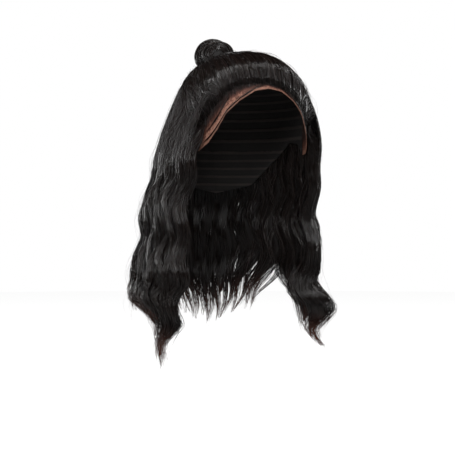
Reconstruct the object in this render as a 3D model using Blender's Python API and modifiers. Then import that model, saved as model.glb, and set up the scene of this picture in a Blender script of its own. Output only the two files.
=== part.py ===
"""Lace front wig in a half-up style: a shaped cap, a sheer lace front, hair swept back
to a top knot, and long body-wave locks that hang round the sides and back.

Metres, +Z up, the wearer faces -Y. The origin is the inside of the crown, where the
cap rests on the top of the head. Longitude is measured in degrees from the front
(-Y) towards the wearer's right (-X). Drop is measured in metres along the surface
from the widest level of the head: negative on the dome above it, positive below.
"""

import math

import bmesh
import bpy
import numpy as np
from mathutils import Vector

MM = 0.001

# Head form inside the cap: a medium head of about 56 cm round the hairline
HEAD_SIDE = 78 * MM
HEAD_LENGTH = 98 * MM
HEAD_CROWN = 112 * MM
DOME_ARC = 150 * MM
SQUARENESS = 2.35
NAPE_DEPTH = 56 * MM
NAPE_TUCK = 0.17
TEMPLE_TUCK = 0.04

# Cap and lace walls
CAP_WALL = 1.8 * MM
LACE_WALL = 1.0 * MM
SEAM_GAP = 0.65 * MM
LACE_END = 79.0
LACE_BAND = ((0, 46 * MM), (40, 42 * MM), (65, 34 * MM), (79, 26 * MM))

# Lower edge of the cap: longitude in degrees, height in metres
CAP_EDGE = (
    (0, -44 * MM),
    (15, -47 * MM),
    (30, -59 * MM),
    (42, -74 * MM),
    (50, -94 * MM),
    (58, -109 * MM),
    (68, -119 * MM),
    (80, -121 * MM),
    (90, -106 * MM),
    (102, -103 * MM),
    (120, -126 * MM),
    (145, -158 * MM),
    (180, -168 * MM),
)

# Hair that is swept back from the lace to the top knot
HAIR_SEAT = 2.7 * MM
SWEPT_LOCKS = 8
SWEPT_RINGS = 12
SWEPT_FROM = 66.0
SWEPT_SETBACK = ((0, 5 * MM), (12, 9 * MM), (30, 14 * MM), (66, 15 * MM))
SWEPT_THICK = 7.2 * MM
SWEPT_END = 0.55
SWEPT_START = 2.6 * MM
KNOT_LONGITUDE = 173.0
KNOT_POLAR = 33.0
GATHER_RADIUS = 9.3
GATHER_SPREAD = 118.0
ROOT_GAP = 0.7
SWEPT_GAPS = (0.014, 0.05)

# Hanging hair: outer reach beyond the head form at each drop below the widest level
FALL_COLUMNS = ("drop", "right", "left", "back", "thick")
FALL = (
    (-90 * MM, 9.5 * MM, 10 * MM, 10 * MM, 7 * MM),
    (-40 * MM, 12 * MM, 12.5 * MM, 13 * MM, 9 * MM),
    (-16 * MM, 18 * MM, 16 * MM, 16 * MM, 12 * MM),
    (0 * MM, 28 * MM, 19.5 * MM, 17 * MM, 15 * MM),
    (20 * MM, 33 * MM, 19.5 * MM, 17 * MM, 18 * MM),
    (53 * MM, 38 * MM, 18 * MM, 15 * MM, 19 * MM),
    (95 * MM, 48 * MM, 21 * MM, 13 * MM, 20 * MM),
    (125 * MM, 50 * MM, 24 * MM, 13 * MM, 20 * MM),
    (160 * MM, 58 * MM, 29 * MM, 14 * MM, 20 * MM),
    (195 * MM, 66 * MM, 40 * MM, 16 * MM, 20 * MM),
    (230 * MM, 58 * MM, 36 * MM, 18 * MM, 19 * MM),
    (275 * MM, 46 * MM, 30 * MM, 20 * MM, 16 * MM),
)
FALL_FROM = 64.0
FALL_SHIFT = 12 * MM
FALL_SHIFT_OVER = 95 * MM
ROOT_RINGS = 6
FALL_STEP = 12.3 * MM
LOCK_GAP = 0.6 * MM

# Body wave: long soft S-bends that grow in below the ears
WAVE_LENGTH = 74 * MM
WAVE_DEPTH = 3.2 * MM
WAVE_SWAY = 2.3
WAVE_FROM = -10 * MM
WAVE_FULL = 60 * MM
WAVE_LAG = 0.35

# Tips draw together in a right, a back and a left bunch
BUNCH_FROM = 130 * MM
BUNCH_OVER = 110 * MM
BUNCH_KEEP = 0.55
BUNCHES = ((64.0, 118.0, 68.0), (118.0, 242.0, 180.0), (242.0, 296.0, 268.0))

# Tip drop of each hanging lock, from the wearer's right front round the back
LOCK_TIPS = (
    272 * MM, 214 * MM, 204 * MM, 205 * MM, 214 * MM, 222 * MM, 228 * MM,
    224 * MM, 216 * MM, 210 * MM, 214 * MM, 228 * MM, 250 * MM,
)
LOCK_NAMES = (
    "lock_right_front", "lock_right_side", "lock_right_rear", "lock_back_right_3",
    "lock_back_right_2", "lock_back_right_1", "lock_back_middle",
    "lock_back_left_1", "lock_back_left_2", "lock_back_left_3",
    "lock_left_rear", "lock_left_side", "lock_left_front",
)
SECTION_POINTS = 10
SECTION_POWER = 2.5
TAPER_FROM = 0.74
TAPER_END = 0.2
TAPER_POWER = 1.8

# Top knot: a fat front lobe, a coil behind it and the gathered hair under both
STUB_RADIUS = 12.9 * MM
STUB_TOP_RADIUS = 8.6 * MM
STUB_HEIGHT = 3.9 * MM
KNOT_CENTRE = Vector((-9, 74, 10)) * MM
KNOT_TURN = 23.0
LUMP_COLUMNS = ("name", "across", "away", "up", "wide", "deep", "tall")
LUMPS = (
    ("knot_lobe", 9, -11, 3.0, 17.5, 12.4, 17.5),
    ("knot_heart", 0, 12.2, 0, 9.1, 9.6, 9.3),
)
COIL_AWAY = 8.0 * MM
COIL_RADIUS = 17.2 * MM
COIL_TUBE = 7.5 * MM
COIL_SWEEP = (-52.0, 238.0)
COIL_POINTS = 17

COLOURS = {
    "hair": ((0.012, 0.010, 0.010), 0.38),
    "cap_net": ((0.015, 0.013, 0.013), 0.85),
    "lace": ((0.36, 0.22, 0.16), 0.8),
}


def clear_scene():
    for item in list(bpy.data.objects):
        bpy.data.objects.remove(item)


def material(name):
    found = bpy.data.materials.get(name)
    if found:
        return found
    colour, roughness = COLOURS[name]
    made = bpy.data.materials.new(name)
    made.use_nodes = True
    shader = made.node_tree.nodes["Principled BSDF"]
    shader.inputs["Base Color"].default_value = (*colour, 1)
    shader.inputs["Roughness"].default_value = roughness
    shader.inputs["Metallic"].default_value = 0.0
    return made


def add_mesh(name, points, faces, finish, collection):
    mesh = bpy.data.meshes.new(name)
    mesh.from_pydata([tuple(point) for point in points], [], faces)
    body = bmesh.new()
    body.from_mesh(mesh)
    bmesh.ops.recalc_face_normals(body, faces=body.faces)
    body.to_mesh(mesh)
    body.free()
    mesh.materials.append(material(finish))
    mesh.shade_smooth()
    made = bpy.data.objects.new(name, mesh)
    collection.objects.link(made)
    return made


def smooth_step(value):
    t = np.clip(value, 0.0, 1.0)
    return t * t * (3 - 2 * t)


def column(rows, at, index=1):
    """Reads one column of a short table, with straight lines between its rows."""
    table = np.array(rows, float)
    return np.interp(at, table[:, 0], table[:, index])


def smooth_column(rows, at, index=1):
    """As column, with each row's corner rounded by averaging close by."""
    table = np.array(rows, float)
    reach = 0.3 * np.diff(table[:, 0]).min()
    offsets = (-1.5, -0.5, 0.5, 1.5)
    return sum(column(rows, np.asarray(at) + k * reach, index) for k in offsets) / 4


def head_point(longitude, drop, lift):
    """A point at that lift above the head form, on the dome or on the neck side."""
    lon = np.radians(longitude)
    polar = np.clip(np.pi / 2 * (1 + drop / DOME_ARC), 0, np.pi / 2)
    ring = np.sin(polar) ** (2 / SQUARENESS)
    height = np.cos(polar) ** (2 / SQUARENESS)
    below = np.maximum(drop, 0)
    tuck = (below / NAPE_DEPTH) ** 2
    side = HEAD_SIDE * (1 - TEMPLE_TUCK * tuck) + lift
    length = HEAD_LENGTH * (1 - NAPE_TUCK * tuck) + lift
    x = -side * ring * np.sin(lon)
    y = -length * ring * np.cos(lon)
    z = -HEAD_CROWN + (HEAD_CROWN + lift) * height - below
    return np.stack(np.broadcast_arrays(x, y, z), axis=-1)


def drop_of_height(z):
    """The drop at which the head form is at height z."""
    height = np.clip((z + HEAD_CROWN) / HEAD_CROWN, 0, 1)
    polar = np.arccos(height ** (SQUARENESS / 2))
    on_dome = DOME_ARC * (2 * polar / np.pi - 1)
    return np.where(z < -HEAD_CROWN, -HEAD_CROWN - z, on_dome)


def cap_edge(longitude):
    """Drop of the cap's lower edge, the same on both sides."""
    away = np.abs((np.asarray(longitude, float) + 180) % 360 - 180)
    return drop_of_height(column(CAP_EDGE, away))


def lace_seam(longitude):
    """Drop of the seam where the lace front joins the cap."""
    return cap_edge(longitude) - column(LACE_BAND, np.abs(longitude))


def grid_faces(rows, columns, closed=False):
    """Quads of a grid of points, row by row."""
    faces = []
    around = columns if closed else columns - 1
    for row in range(rows - 1):
        for step in range(around):
            after = (step + 1) % columns
            faces.append((
                row * columns + step,
                row * columns + after,
                (row + 1) * columns + after,
                (row + 1) * columns + step,
            ))
    return faces


def thicken(item, wall):
    """Gives an open surface its wall, outwards from the head."""
    shell = item.modifiers.new("wall", "SOLIDIFY")
    shell.thickness = wall
    shell.offset = 1.0
    shell.use_even_offset = False


def face_out(item):
    """Turns an open shell's faces away from the inside of the head."""
    centre = Vector((0, 0, -HEAD_CROWN))
    faces = item.data.polygons
    outward = sum((face.center - centre).dot(face.normal) * face.area for face in faces)
    if outward < 0:
        item.data.flip_normals()


def make_cap(collection):
    """The dome from crown to nape, cut back in front for the lace."""
    step = 10.0
    turn = [k * step for k in range(-7, 8)]
    past = [80.2, 86, 93, 102, 112, 124, 136, 148, 160, 170, 180]
    past += [360 - lon for lon in reversed(past[:-1])]
    longitudes = np.array([-LACE_END - 0.5, *turn, LACE_END + 0.5, *past])
    in_front = np.abs(longitudes) < 80
    edges = np.where(in_front, lace_seam(np.clip(longitudes, -LACE_END, LACE_END)) - SEAM_GAP,
                     cap_edge(longitudes))
    rows = 9
    crown = -DOME_ARC
    shares = np.linspace(0.09, 1.0, rows)
    drops = crown + (edges - crown) * shares[:, None]
    points = head_point(longitudes[None, :], drops, 0.0).reshape(-1, 3)
    top = head_point(0.0, crown, 0.0)
    points = np.vstack([points, top[None, :]])
    count = len(longitudes)
    faces = grid_faces(rows, count, closed=True)
    faces += [(k, (k + 1) % count, rows * count) for k in range(count)]
    cap = add_mesh("cap", points, faces, "cap_net", collection)
    face_out(cap)
    thicken(cap, CAP_WALL)


def make_lace(collection):
    """The sheer band from ear to ear along the hairline."""
    longitudes = np.array([-LACE_END, *[k * 10.0 for k in range(-7, 8)], LACE_END])
    rows = 5
    shares = np.linspace(0, 1, rows)[:, None]
    top = lace_seam(longitudes)
    drops = top + (cap_edge(longitudes) - top) * shares
    points = head_point(longitudes[None, :], drops, 0.0).reshape(-1, 3)
    lace = add_mesh("lace_front", points, grid_faces(rows, len(longitudes)), "lace", collection)
    face_out(lace)
    thicken(lace, LACE_WALL)


def section():
    """Closed cross-section of a lock: across and outward, each from -1 to 1."""
    angles = np.linspace(0, 2 * np.pi, SECTION_POINTS, endpoint=False)
    across, outward = np.cos(angles), np.sin(angles)
    power = 2 / SECTION_POWER
    across = np.sign(across) * np.abs(across) ** power
    outward = np.sign(outward) * np.abs(outward) ** power
    return across, outward


def loft(name, rings, collection):
    """Closes a run of rings of points into one solid with flat ends."""
    count, around = rings.shape[:2]
    faces = grid_faces(count, around, closed=True)
    faces.append(tuple(range(around)))
    faces.append(tuple((count - 1) * around + k for k in range(around)))
    return add_mesh(name, rings.reshape(-1, 3), faces, "hair", collection)


def map_point(longitude, polar):
    """Flat map of the dome: distance from the centre is the polar angle."""
    lon = np.radians(longitude)
    return np.stack([polar * np.sin(lon), polar * np.cos(lon)], axis=-1)


def from_map(flat):
    """Longitude and drop of a point of the flat map."""
    longitude = np.degrees(np.arctan2(flat[..., 0], flat[..., 1]))
    polar = np.hypot(flat[..., 0], flat[..., 1])
    return longitude, DOME_ARC * (polar / 90 - 1)


def gather_point(turn):
    """A point of the ring where the swept hair is gathered, on the flat map."""
    middle = map_point(KNOT_LONGITUDE, KNOT_POLAR)
    angle = np.radians(turn)
    ring = np.stack([np.sin(angle), np.cos(angle)], axis=-1)
    return middle + GATHER_RADIUS * ring


def swept_path(share, along):
    """Flat map point: share runs from the right temple to the left, along from the hairline to the knot."""
    longitude = SWEPT_FROM * (1 - 2 * share)
    setback = column(SWEPT_SETBACK, np.abs(longitude))
    start_drop = cap_edge(longitude) - setback
    start = map_point(longitude, 90 * (1 + start_drop / DOME_ARC))
    end = gather_point(GATHER_SPREAD * (1 - 2 * share))
    along = np.asarray(along)[..., None]
    return start * (1 - along) + end * along


def make_swept(collection):
    """Locks that lie side by side over the cap, from the hairline to the knot."""
    across, outward = section()
    along = np.linspace(0, 1, SWEPT_RINGS) ** 0.85
    for index in range(SWEPT_LOCKS):
        low, high = index / SWEPT_LOCKS, (index + 1) / SWEPT_LOCKS
        gap = SWEPT_GAPS[0] + (SWEPT_GAPS[1] - SWEPT_GAPS[0]) * along
        middle, half = (low + high) / 2, (high - low) / 2 * (1 - gap)
        share = middle + half[:, None] * across[None, :]
        flat = swept_path(share, along[:, None])
        longitude, drop = from_map(flat)
        rise = SWEPT_START + (SWEPT_THICK - SWEPT_START) * smooth_step(along / 0.22)
        rise *= 1 - (1 - SWEPT_END) * smooth_step((along - 0.75) / 0.25)
        swell = 1 + 0.12 * np.sin(np.pi * along) * math.cos(2.4 * index)
        half_thick = (rise * swell / 2)[:, None]
        lift = HAIR_SEAT + half_thick * (1 + outward[None, :])
        rings = head_point(longitude, drop, lift)
        loft(f"swept_lock_{index + 1}", rings, collection)


def root_line():
    """Longitudes and drops of the line below and behind the swept hair, where the hanging hair starts."""
    along = np.linspace(0, 1, 24)
    right = swept_path(0.0, along)
    behind = gather_point(np.linspace(GATHER_SPREAD, 360 - GATHER_SPREAD, 15)[1:-1])
    left = swept_path(1.0, along[::-1])
    longitude, drop = from_map(np.vstack([right, behind, left]))
    longitude = longitude % 360
    order = np.argsort(longitude)
    return longitude[order], drop[order] + DOME_ARC * ROOT_GAP / 90


def fall_table(drop, name):
    return smooth_column(FALL, drop, FALL_COLUMNS.index(name))


def fall_point(longitude, drop, inward):
    """A point of the hanging hair: inward is 0 on its outer face and 1 on its inner face."""
    lon = np.radians(longitude)
    right = np.maximum(np.sin(lon), 0) ** 2
    left = np.maximum(-np.sin(lon), 0) ** 2
    back = np.cos(lon) ** 2
    reach = (right * fall_table(drop, "right") + left * fall_table(drop, "left")
             + back * fall_table(drop, "back"))
    thick = np.minimum(fall_table(drop, "thick"), reach - HAIR_SEAT)
    grown = smooth_step((drop - WAVE_FROM) / (WAVE_FULL - WAVE_FROM))
    wave = np.sin(2 * np.pi * drop / WAVE_LENGTH + 2 * WAVE_LAG * lon)
    lift = reach - thick * inward + WAVE_DEPTH * grown * wave
    polar = np.clip(np.pi / 2 * (1 + drop / DOME_ARC), 0, np.pi / 2)
    ring = np.sin(polar) ** (2 / SQUARENESS)
    height = np.cos(polar) ** (2 / SQUARENESS)
    below = np.maximum(drop, 0)
    shift = FALL_SHIFT * smooth_step(drop / FALL_SHIFT_OVER)
    x = -(HEAD_SIDE + lift) * ring * np.sin(lon)
    y = -(HEAD_LENGTH + lift) * ring * np.cos(lon) + shift
    z = -HEAD_CROWN + (HEAD_CROWN + lift) * height - below
    return np.stack(np.broadcast_arrays(x, y, z), axis=-1)


def swayed(longitude, drop, bunch):
    """Longitude after the side-to-side wave and the drawing together of the tips."""
    grown = smooth_step((drop - WAVE_FROM) / (WAVE_FULL - WAVE_FROM))
    phase = 2 * np.pi * drop / WAVE_LENGTH + WAVE_LAG * np.radians(longitude)
    drawn = (1 - BUNCH_KEEP) * smooth_step((drop - BUNCH_FROM) / BUNCH_OVER)
    gathered = longitude + (bunch - longitude) * drawn
    return gathered + WAVE_SWAY * grown * np.cos(phase)


def make_hanging(collection):
    """The locks that hang round the sides and back, each in its own sector."""
    across, outward = section()
    line_longitude, line_drop = root_line()
    step = (360 - 2 * FALL_FROM) / len(LOCK_TIPS)
    for index, (name, tip) in enumerate(zip(LOCK_NAMES, LOCK_TIPS)):
        start = FALL_FROM + index * step
        middle = start + step / 2
        bunch = next(centre for low, high, centre in BUNCHES if low <= middle <= high)
        root_shares = np.linspace(0, 1, ROOT_RINGS)
        levels = np.arange(1, int(tip / FALL_STEP - 0.4) + 1) * FALL_STEP
        half_gap = np.degrees(LOCK_GAP / 2 / HEAD_LENGTH)
        half = step / 2 - half_gap
        longitude = middle + half * across
        root = np.interp(longitude, line_longitude, line_drop)
        upper = root[None, :] * (1 - root_shares[:, None])
        lower = np.repeat(np.array([*levels, tip])[:, None], len(across), axis=1)
        drop = np.vstack([upper, lower])
        share = np.clip(drop / tip, 0, 1)
        fade = np.clip((share - TAPER_FROM) / (1 - TAPER_FROM), 0, 1) ** TAPER_POWER
        width = 1 - (1 - TAPER_END) * fade
        spread = middle + half * across[None, :] * width
        bent = swayed(spread, drop, bunch)
        depth = 0.5 - 0.5 * outward[None, :] * (1 - 0.8 * fade)
        rings = fall_point(bent, drop, depth)
        loft(name, rings, collection)


def knot_axes():
    """Axes of the top knot: across the view, away from it and up."""
    turn = math.radians(KNOT_TURN)
    across = Vector((math.cos(turn), -math.sin(turn), 0))
    away = Vector((math.sin(turn), math.cos(turn), 0))
    return across, away, Vector((0, 0, 1))


def make_stub(collection):
    """The gathered hair that carries the knot, standing on the cap."""
    polar_drop = DOME_ARC * (KNOT_POLAR / 90 - 1)
    foot = Vector(head_point(KNOT_LONGITUDE, polar_drop, 3.4 * MM))
    higher = Vector(head_point(KNOT_LONGITUDE, polar_drop, 30 * MM))
    axis = (higher - foot).normalized()
    bpy.ops.mesh.primitive_cone_add(
        vertices=20, radius1=STUB_RADIUS, radius2=STUB_TOP_RADIUS, depth=STUB_HEIGHT)
    stub = bpy.context.object
    stub.name = "ponytail_stub"
    stub.data.materials.append(material("hair"))
    stub.rotation_mode = "QUATERNION"
    stub.rotation_quaternion = axis.to_track_quat("Z", "Y")
    stub.location = foot + axis * STUB_HEIGHT / 2
    move_to(stub, collection)


def move_to(item, collection):
    for other in list(item.users_collection):
        other.objects.unlink(item)
    collection.objects.link(item)


def make_lumps(collection):
    """The rounded lobes of the knot, turned to the wearer's right front."""
    across, away, up = knot_axes()
    for name, right, back, high, wide, deep, tall in LUMPS:
        bpy.ops.mesh.primitive_uv_sphere_add(segments=18, ring_count=11, radius=1.0)
        lump = bpy.context.object
        lump.name = name
        lump.data.materials.append(material("hair"))
        centre = KNOT_CENTRE + (across * right + away * back + up * high) * MM
        for vertex in lump.data.vertices:
            p = vertex.co.copy()
            fold = 1 + 0.04 * math.sin(3 * math.atan2(p.z, p.x) + 2.2 * p.y)
            place = across * p.x * wide + away * p.y * deep + up * p.z * tall
            vertex.co = centre + place * fold * MM
        lump.data.shade_smooth()
        move_to(lump, collection)


def make_coil(collection):
    """The coil of hair round the back of the knot: a curve with tapering ends."""
    curve = bpy.data.curves.new("knot_coil", "CURVE")
    curve.dimensions = "3D"
    curve.bevel_depth = COIL_TUBE
    curve.bevel_resolution = 3
    curve.use_fill_caps = True
    spline = curve.splines.new("POLY")
    spline.points.add(COIL_POINTS - 1)
    across, away, up = knot_axes()
    centre = KNOT_CENTRE + away * COIL_AWAY
    for k, point in enumerate(spline.points):
        share = k / (COIL_POINTS - 1)
        angle = math.radians(COIL_SWEEP[0] + (COIL_SWEEP[1] - COIL_SWEEP[0]) * share)
        place = centre + COIL_RADIUS * (across * math.cos(angle) + up * math.sin(angle))
        point.co = (*place, 1)
        point.radius = 0.7 + 0.3 * math.sin(math.pi * share) ** 0.6
    coil = bpy.data.objects.new("knot_coil", curve)
    curve.materials.append(material("hair"))
    collection.objects.link(coil)


def main():
    clear_scene()
    wig = bpy.data.collections.new("lace_front_wig")
    bpy.context.scene.collection.children.link(wig)
    make_cap(wig)
    make_lace(wig)
    make_swept(wig)
    make_hanging(wig)
    make_stub(wig)
    make_lumps(wig)
    make_coil(wig)


main()
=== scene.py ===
import math

import bpy
import numpy as np
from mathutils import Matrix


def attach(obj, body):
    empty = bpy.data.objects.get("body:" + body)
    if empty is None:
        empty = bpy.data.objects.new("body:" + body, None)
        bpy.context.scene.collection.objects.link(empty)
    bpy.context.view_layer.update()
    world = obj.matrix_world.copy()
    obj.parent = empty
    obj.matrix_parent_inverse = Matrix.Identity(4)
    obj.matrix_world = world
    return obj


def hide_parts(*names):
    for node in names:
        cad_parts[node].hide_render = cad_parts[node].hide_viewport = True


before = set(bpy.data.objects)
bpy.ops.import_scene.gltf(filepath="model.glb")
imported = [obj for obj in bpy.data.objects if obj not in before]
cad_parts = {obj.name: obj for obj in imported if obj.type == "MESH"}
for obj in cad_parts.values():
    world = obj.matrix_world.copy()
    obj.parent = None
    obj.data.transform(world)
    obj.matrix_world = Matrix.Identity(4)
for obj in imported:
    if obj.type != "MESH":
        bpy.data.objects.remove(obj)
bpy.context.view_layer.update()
mm = 0.001

# The wig faces -Y and its right side is at -X. Longitude counts degrees from the front
# towards -X. Drop is metres down the crown's dome, 0 at its widest level.
dome = dict(side=78 * mm, length=98 * mm, crown=112 * mm, arc=150 * mm, power=2.35,
            napeDepth=56 * mm, napeTuck=0.17, templeTuck=0.04)
capEdgeTable = np.array([
    (0, -44), (15, -47), (30, -59), (42, -74), (50, -94), (58, -109), (68, -119),
    (80, -121), (90, -106), (102, -103), (120, -126), (145, -158), (180, -168)],
    float) * (1, mm)  # longitude, height of the edge
laceBandTable = np.array([(0, 46), (40, 42), (65, 34), (79, 26)], float) * (1, mm)


# A step from 0 to 1 with level ends: 3t^2 - 2t^3
def smoothStep(value):
    t = np.clip(value, 0, 1)
    return t * t * (3 - 2 * t)


# Each vector over its own length
def unit(vectors):
    return vectors / np.maximum(np.linalg.norm(vectors, axis=-1, keepdims=True), 1e-9)


# Straight lines between the rows of a table
def readTable(table, at, column=1):
    return np.interp(at, table[:, 0], table[:, column])


# Radius and height shares of the dome: powers of the sine and cosine of its angle
def domeRing(drop):
    polar = np.clip(np.pi / 2 * (1 + drop / dome["arc"]), 0, np.pi / 2)
    power = 2 / dome["power"]
    return np.sin(polar) ** power, np.cos(polar) ** power


# A point at that lift over the dome: an ellipse of longitude at each drop
def domePoint(longitude, drop, lift):
    lon = np.radians(longitude)
    ring, height = domeRing(drop)
    below = np.maximum(drop, 0)
    tuck = (below / dome["napeDepth"]) ** 2
    side = dome["side"] * (1 - dome["templeTuck"] * tuck) + lift
    length = dome["length"] * (1 - dome["napeTuck"] * tuck) + lift
    x = -side * ring * np.sin(lon)
    y = -length * ring * np.cos(lon)
    z = -dome["crown"] + (dome["crown"] + lift) * height - below
    return np.stack(np.broadcast_arrays(x, y, z), axis=-1)


# The drop at a height: the dome's height formula turned round, straight below the dome
def dropOfHeight(z):
    height = np.clip((z + dome["crown"]) / dome["crown"], 0, 1)
    onDome = dome["arc"] * (2 * np.arccos(height ** (dome["power"] / 2)) / np.pi - 1)
    return np.where(z < -dome["crown"], -dome["crown"] - z, onDome)


# The cap's edge, the same on both sides
def capEdge(longitude):
    away = np.abs((np.asarray(longitude, float) + 180) % 360 - 180)
    return dropOfHeight(readTable(capEdgeTable, away))


# Where the lace is sewn to the cap: the edge less the lace's width there
def laceSeam(longitude):
    return capEdge(longitude) - readTable(laceBandTable, np.abs(longitude))


# Mesh building: every shape is an array of tubes, each a run of rings of points.
# Corner numbers of the side quads of count tubes, and of the end faces
def tubeFaces(count, rings, around):
    tube, ring, step = np.meshgrid(np.arange(count), np.arange(rings - 1), np.arange(around),
                                   indexing="ij")
    after = (step + 1) % around
    base = (tube * rings + ring) * around
    sides = np.stack([base + step, base + around + step, base + around + after, base + after], -1)
    first = np.arange(count)[:, None] * rings * around + np.arange(around)[None, :]
    last = first[:, ::-1] + (rings - 1) * around
    return sides.reshape(-1, 4), np.vstack([first, last])


# Map corners: each tube is one upright strip of the box, in that many rows
def tubeMap(count, rings, around, box, rows):
    columns = -(-count // rows)
    tube, ring, step = np.meshgrid(np.arange(count), np.arange(rings - 1), np.arange(around),
                                   indexing="ij")
    wide, tall = (box[2] - box[0]) / columns, (box[3] - box[1]) / rows
    left = box[0] + (tube % columns) * wide
    low = box[1] + (tube // columns) * tall

    def at(k, r):
        return np.stack([left + wide * (0.04 + 0.92 * k / around),
                         low + tall * (0.01 + 0.98 * r / (rings - 1))], -1)

    sides = np.stack([at(step, ring), at(step, ring + 1), at(step + 1, ring + 1),
                      at(step + 1, ring)], -2).reshape(-1, 4, 2)
    turn = np.linspace(0, 2 * np.pi, around, endpoint=False)
    disc = 0.5 + 0.45 * np.stack([np.cos(turn), np.sin(turn)], -1)
    corner = np.array([box[0], box[1]]) + disc * np.array([wide, tall * 0.01])
    return sides, np.repeat(corner[None], 2 * count, axis=0)


# One mesh from groups of tubes: points, a map box and values for each point
def makeMesh(name, groups, mats):
    points, polygons, maps, slots, values = [], [], [], [], {}
    start = 0
    for slot, group in enumerate(groups):
        pts = group["points"]
        count, rings, around = pts.shape[:3]
        sides, ends = tubeFaces(count, rings, around)
        sideMap, endMap = tubeMap(count, rings, around, group["box"], group.get("rows", 1))
        points.append(pts.reshape(-1, 3))
        for faces, corners in ((sides, sideMap), (ends, endMap)):
            polygons.append(faces + start)
            maps.append(corners)
            slots.append(np.full(len(faces), group.get("slot", slot)))
        for key in ("along", "shade", "grain"):
            given = np.broadcast_to(group.get(key, 0.0), pts.shape[:3])
            values.setdefault(key, []).append(given.reshape(-1))
        start += count * rings * around
    mesh = bpy.data.meshes.new(name)
    mesh.vertices.add(start)
    mesh.vertices.foreach_set("co", np.concatenate(points).ravel())
    sizes = np.concatenate([np.full(len(p), p.shape[1]) for p in polygons])
    corners = np.concatenate([p.ravel() for p in polygons])
    mesh.loops.add(len(corners))
    mesh.loops.foreach_set("vertex_index", corners.astype(np.int32))
    mesh.polygons.add(len(sizes))
    mesh.polygons.foreach_set("loop_start", np.r_[0, np.cumsum(sizes)[:-1]].astype(np.int32))
    mesh.polygons.foreach_set("material_index", np.concatenate(slots).astype(np.int32))
    for key, parts in values.items():
        layer = mesh.attributes.new(key, "FLOAT", "POINT")
        layer.data.foreach_set("value", np.concatenate(parts).astype(np.float32))
    mesh.update(calc_edges=True)
    layer = mesh.uv_layers.new(name="OFBake")
    flatMaps = np.concatenate([m.reshape(-1) for m in maps])
    layer.data.foreach_set("uv", flatMaps.astype(np.float32))
    mesh.shade_smooth()
    made = bpy.data.objects.new(name, mesh)
    for mat in mats:
        mesh.materials.append(mat)
    bpy.context.scene.collection.objects.link(made)
    mesh.validate()
    return made


# Three-sided flattened tubes round the paths. The flat side faces outwards, rolled a little
# by sines of the strand's number and of the way along it
def strandTubes(paths, outward, radius, flat=0.5):
    tangent = unit(np.gradient(paths, axis=1))
    side = unit(np.cross(tangent, outward))
    over = np.cross(side, tangent)
    number = np.arange(paths.shape[0])[:, None, None]
    share = np.linspace(0, 1, paths.shape[1])[None, :, None]
    roll = 0.5 * np.sin(2.4 * number) + 0.3 * np.sin(1.7 * number + 9 * share)
    side, over = (np.cos(roll) * side + np.sin(roll) * over,
                  np.cos(roll) * over - np.sin(roll) * side)
    turn = np.radians([30, 150, 270])
    across = np.cos(turn)[None, None, :, None] * side[:, :, None, :]
    rise = np.sin(turn)[None, None, :, None] * over[:, :, None, :] * flat
    return paths[:, :, None, :] + radius[:, :, None, None] * (across + rise)


# Directions away from the middle of the dome
def awayFromDome(points):
    return unit(points - np.array([0, 0, -dome["crown"]]))


# Directions away from an upright line behind the middle, tilted a little with height
def awayFromLine(points):
    return unit(points * (1, 1, 0.25) - np.array([0, 0.012, -0.03]))


# Thickness that swells from thin ends: a half sine to a power, cut off at the margins
def thinEnds(share, margin, power):
    return np.sin(np.pi * np.clip(share, margin, 1 - margin)) ** power


# The group of a set of strands, with one shade for each strand
def strandGroup(strands, shade, along, rows=2, box=(0.21, 0, 1, 1)):
    shape = strands.shape[:3]
    return dict(points=strands, box=box, rows=rows, slot=1,
                along=np.broadcast_to(along, shape),
                shade=np.broadcast_to(shade.reshape(-1, 1, 1), shape))


# The group of a packed core, whose grain runs from ring point to ring point
def coreGroup(core, grain, along, shade):
    shape = core.shape[:2]
    return dict(points=core[None], box=(0, 0, 0.2, 1), slot=0,
                grain=np.broadcast_to(grain, shape)[None],
                along=np.broadcast_to(along, shape)[None], shade=shade)


# A finished piece of hair, which rides on the part and replaces its solids
def placeHair(name, groups, *nodes):
    piece = makeMesh(name, groups, hairMats)
    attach(piece, "root")
    if nodes:
        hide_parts(*nodes)
    return piece


# Slow sideways drift: a sum of sines of random phase along each strand
def wander(rng, count, rings, size, beats):
    share = np.linspace(0, 1, rings)[None, :]
    total = 0
    for beat in beats:
        phase = rng.uniform(0, 2 * np.pi, (count, 1))
        total = total + rng.normal(0, 1, (count, 1)) * np.sin(2 * np.pi * beat * share + phase)
    return size * total / math.sqrt(len(beats))


# Materials. A new one gives its nodes, its links and its one shader.
def newMaterial(name):
    mat = bpy.data.materials.new(name)
    mat.use_nodes = True
    nodes = mat.node_tree.nodes
    return mat, nodes, mat.node_tree.links, nodes["Principled BSDF"]


# Reads one of the mesh's own values by its name
def attributeNode(nodes, name):
    node = nodes.new("ShaderNodeAttribute")
    node.attribute_name = name
    return node


# A value spread from one range to another, eased at both ends unless straight
def rangeNode(nodes, low, high, toLow=0.0, toHigh=1.0, eased=True):
    node = nodes.new("ShaderNodeMapRange")
    node.interpolation_type = "SMOOTHSTEP" if eased else "LINEAR"
    node.inputs["From Min"].default_value = low
    node.inputs["From Max"].default_value = high
    node.inputs["To Min"].default_value = toLow
    node.inputs["To Max"].default_value = toHigh
    return node


# Two colours mixed by a factor, or multiplied
def colourMix(nodes, first=None, second=None, blend="MIX"):
    node = nodes.new("ShaderNodeMix")
    node.data_type = "RGBA"
    node.blend_type = blend
    if first:
        node.inputs[6].default_value = (*first, 1)
    if second:
        node.inputs[7].default_value = (*second, 1)
    return node


# One operation, with its second value where that isn't linked
def mathNode(nodes, operation, second=None):
    node = nodes.new("ShaderNodeMath")
    node.operation = operation
    if second is not None:
        node.inputs[1].default_value = second
    return node


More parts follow.
